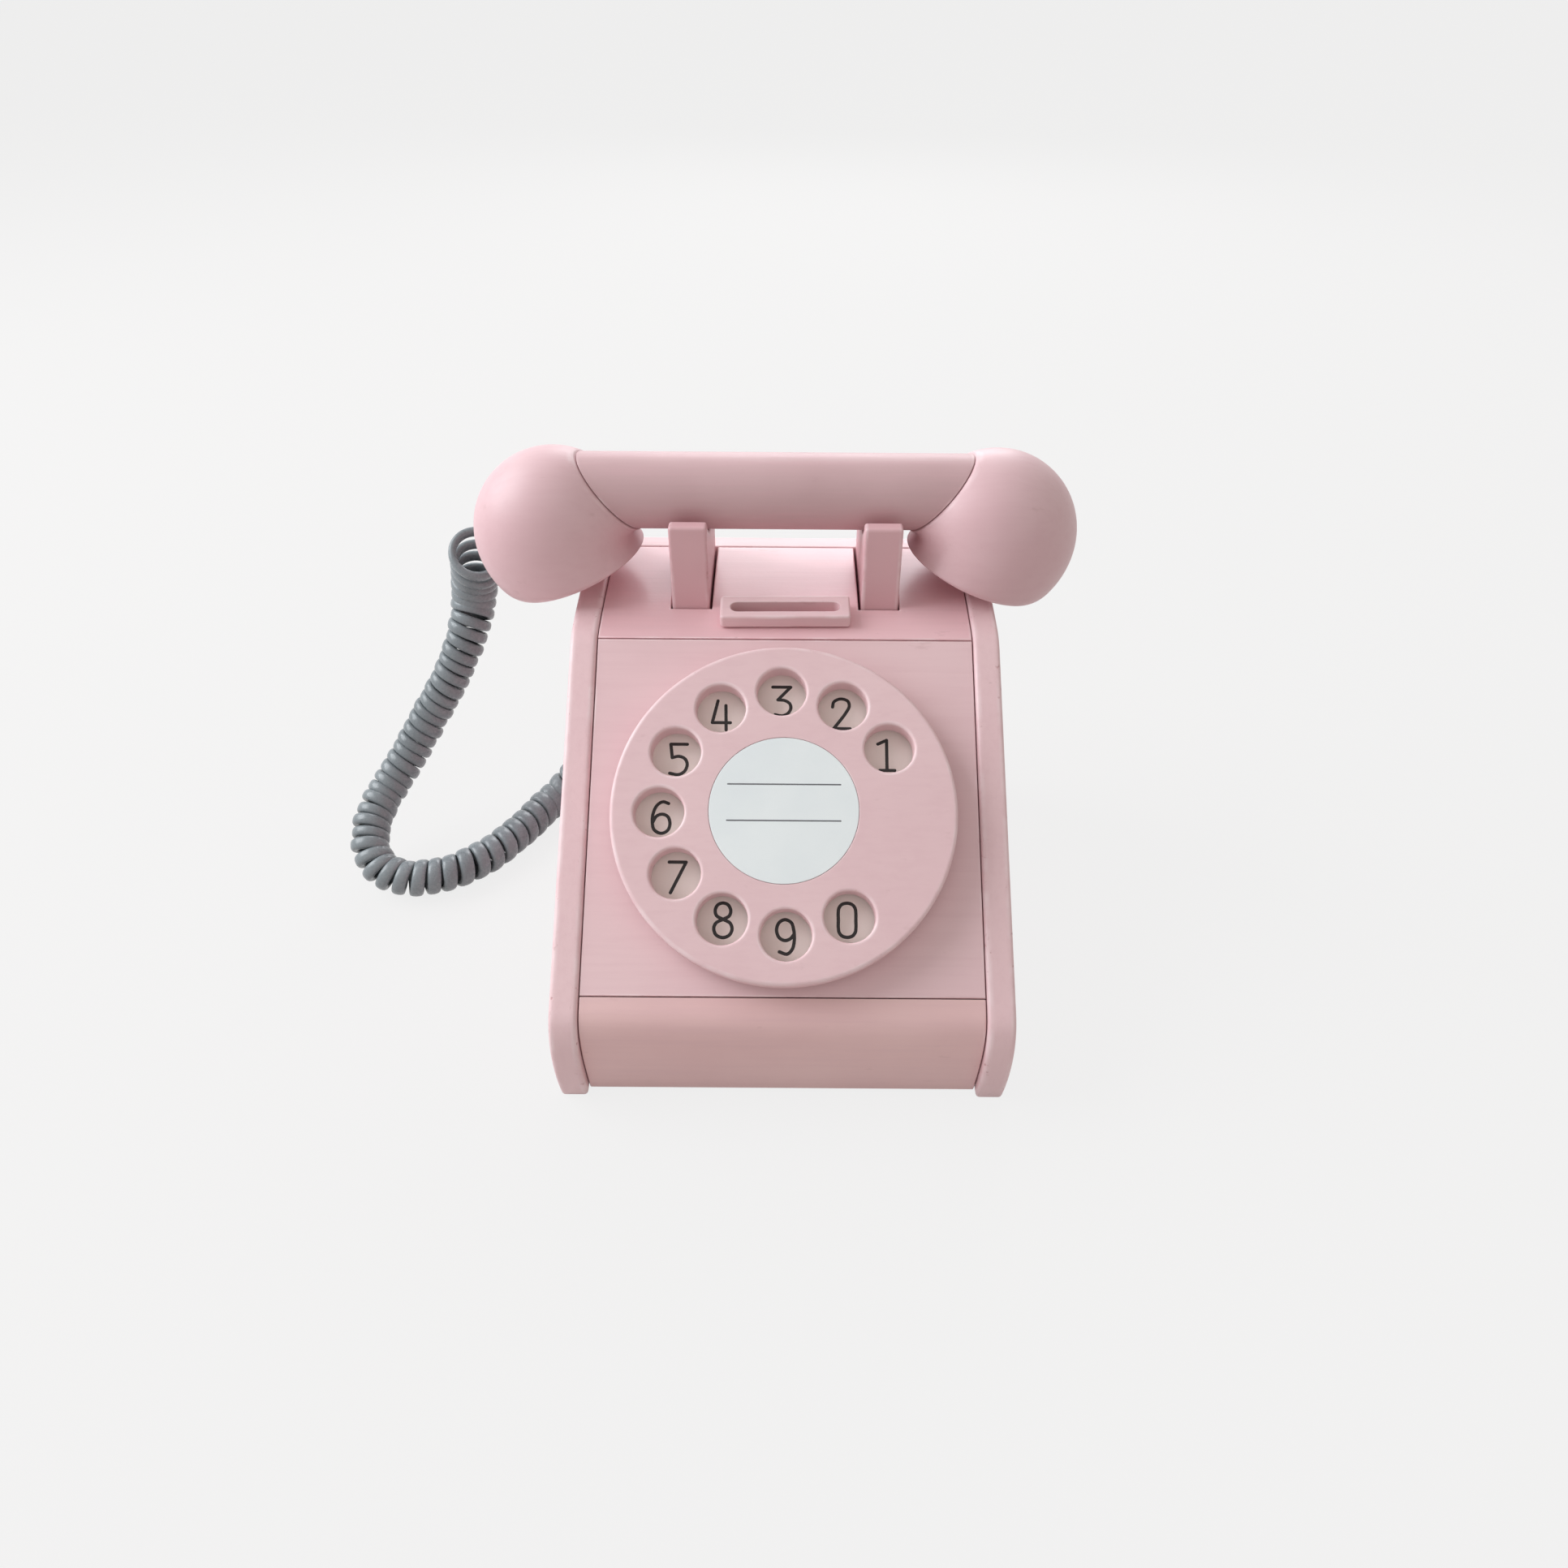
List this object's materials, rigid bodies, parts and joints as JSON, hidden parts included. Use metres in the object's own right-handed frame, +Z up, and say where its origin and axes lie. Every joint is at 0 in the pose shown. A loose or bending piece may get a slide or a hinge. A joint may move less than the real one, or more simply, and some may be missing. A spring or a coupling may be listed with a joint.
{
  "type": "toy rotary telephone",
  "caption": "Painted wooden toy desk telephone: sloped board case, turning dial with finger holes, handset on two sprung forks, curly cord.",
  "frame": {"origin": "centre of the flat underside of the case, which rests on the table", "axes": "+Z up, +Y towards the back of the case, +X to the right of the person who dials, along the handset"},
  "size_m": [0.2366, 0.1577, 0.1423],
  "materials": {
    "pink_paint": "satin pink paint on wood",
    "bare_wood": "bare sanded wood",
    "steel": "zinc plated steel",
    "nylon": "natural nylon",
    "pale_card": "pale grey-beige printed card",
    "label_paper": "cool white paper label",
    "grey_rubber": "grey moulded rubber",
    "grey_cord": "satin grey cord jacket"
  },
  "bodies": {
    "case": {"side_panel_left": "pink_paint", "side_panel_right": "pink_paint", "lower_front_panel": "pink_paint", "front_panel": "pink_paint", "top_panel": "pink_paint", "card_holder": "pink_paint", "back_panel": "pink_paint", "bottom_board": "pink_paint", "glue_block_front_left": "bare_wood", "glue_block_front_right": "bare_wood", "glue_block_rear_left": "bare_wood", "glue_block_rear_right": "bare_wood", "floor_screw_front_left": "steel", "floor_screw_front_right": "steel", "floor_screw_rear_left": "steel", "floor_screw_rear_right": "steel", "axle_bush": "nylon", "number_plate": "pale_card", "click_reed": "steel", "reed_block": "bare_wood", "spring_shelf": "bare_wood", "guide_pin_left": "bare_wood", "guide_pin_right": "bare_wood", "hook_spring_left": "steel", "hook_spring_right": "steel", "cord_gland_case": "grey_rubber", "curly_cord": "grey_cord"},
    "dial": {"dial_plate": "pink_paint", "dial_label": "label_paper", "thrust_washer": "nylon", "axle_bolt": "steel", "click_wheel": "nylon", "back_washer": "steel", "lock_nut": "steel"},
    "cradle": {"fork_left": "pink_paint", "fork_right": "pink_paint", "cross_bar": "bare_wood"},
    "handset": {"grip_bar": "pink_paint", "cup_left": "pink_paint", "cup_right": "pink_paint", "dowel_left": "bare_wood", "dowel_right": "bare_wood", "cord_gland_handset": "grey_rubber"}
  },
  "joints": [
    {"name": "dial_turn", "type": "hinge", "parent": "case", "child": "dial", "pos_m": [0, -0.02882, 0.06589], "axis": [0, -0.599, 0.8007], "continuous": true},
    {"name": "handset_lift", "type": "slide", "parent": "case", "child": "handset", "axis": [0, 0, 1], "range_m": [0, 0.08]},
    {"name": "cradle_rise", "type": "slide", "parent": "case", "child": "cradle", "axis": [0, 0, 1], "range_m": [0, 0.004], "deforming": ["hook_spring_left", "hook_spring_right"]}
  ],
  "couplings": [
    {"joint": "cradle_rise", "follows": "handset_lift", "ratio": 0.05}
  ]
}
